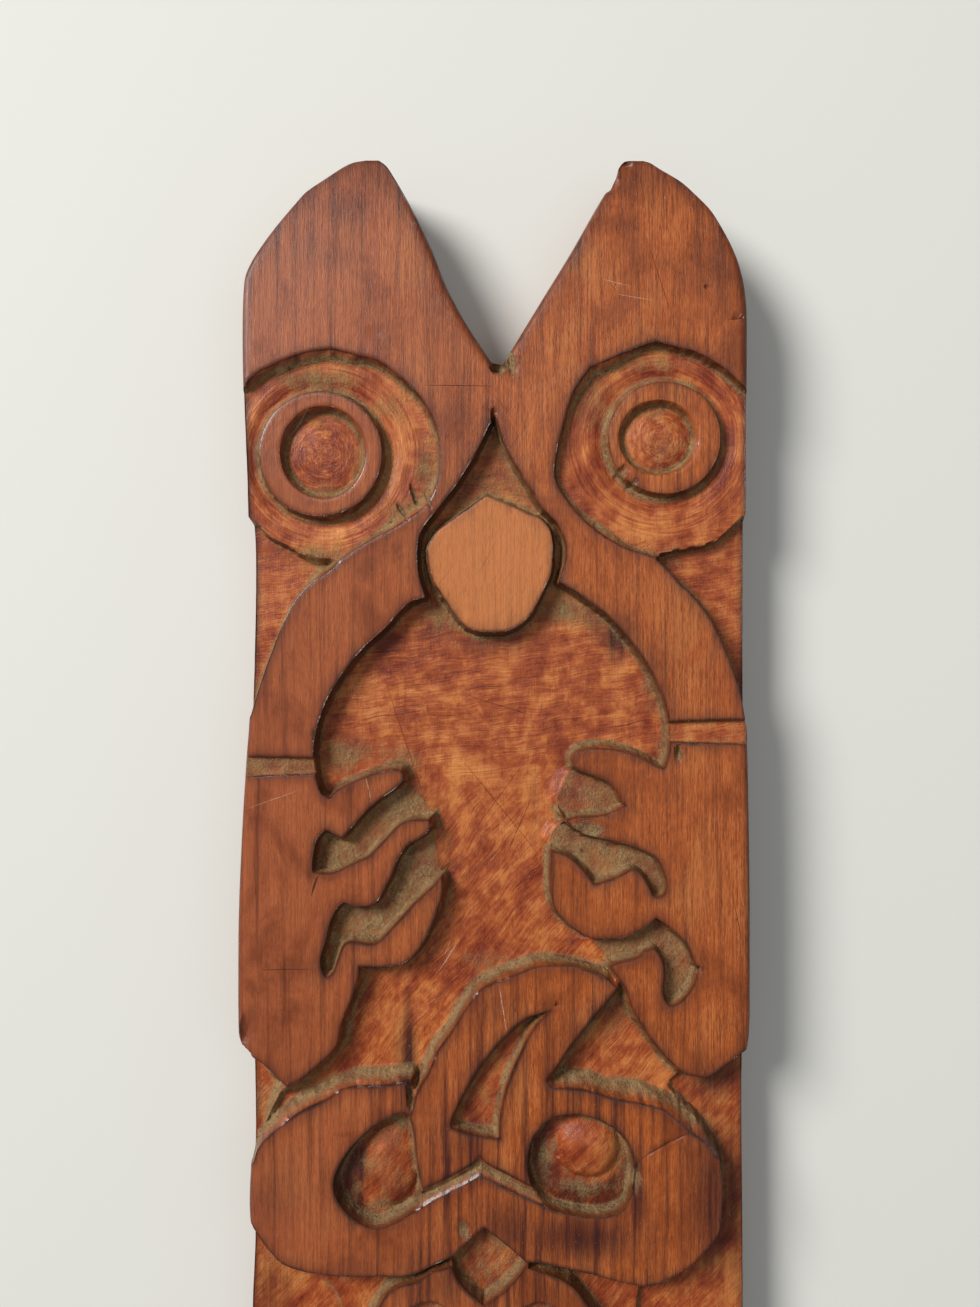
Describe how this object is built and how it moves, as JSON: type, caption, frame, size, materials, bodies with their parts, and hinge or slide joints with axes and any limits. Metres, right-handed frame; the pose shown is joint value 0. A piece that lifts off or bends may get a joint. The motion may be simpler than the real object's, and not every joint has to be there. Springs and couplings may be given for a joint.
{
  "type": "carved wooden panel",
  "caption": "Flat wooden panel carved in relief with a two-eared tiki figure, folded hands, a low mask with a tusk and a small head above a plain foot.",
  "frame": {"origin": "middle of the outline's bounding box, on the flat back", "axes": "+Z out of the carved face, +Y towards the ears, +X to the right of the carved face"},
  "size_m": [0.1288, 0.38, 0.02],
  "materials": {
    "varnished_wood": "reddish brown stain under a satin varnish, dusty in the cut walls"
  },
  "bodies": {
    "root": {"carved_panel": "varnished_wood"}
  },
  "joints": []
}
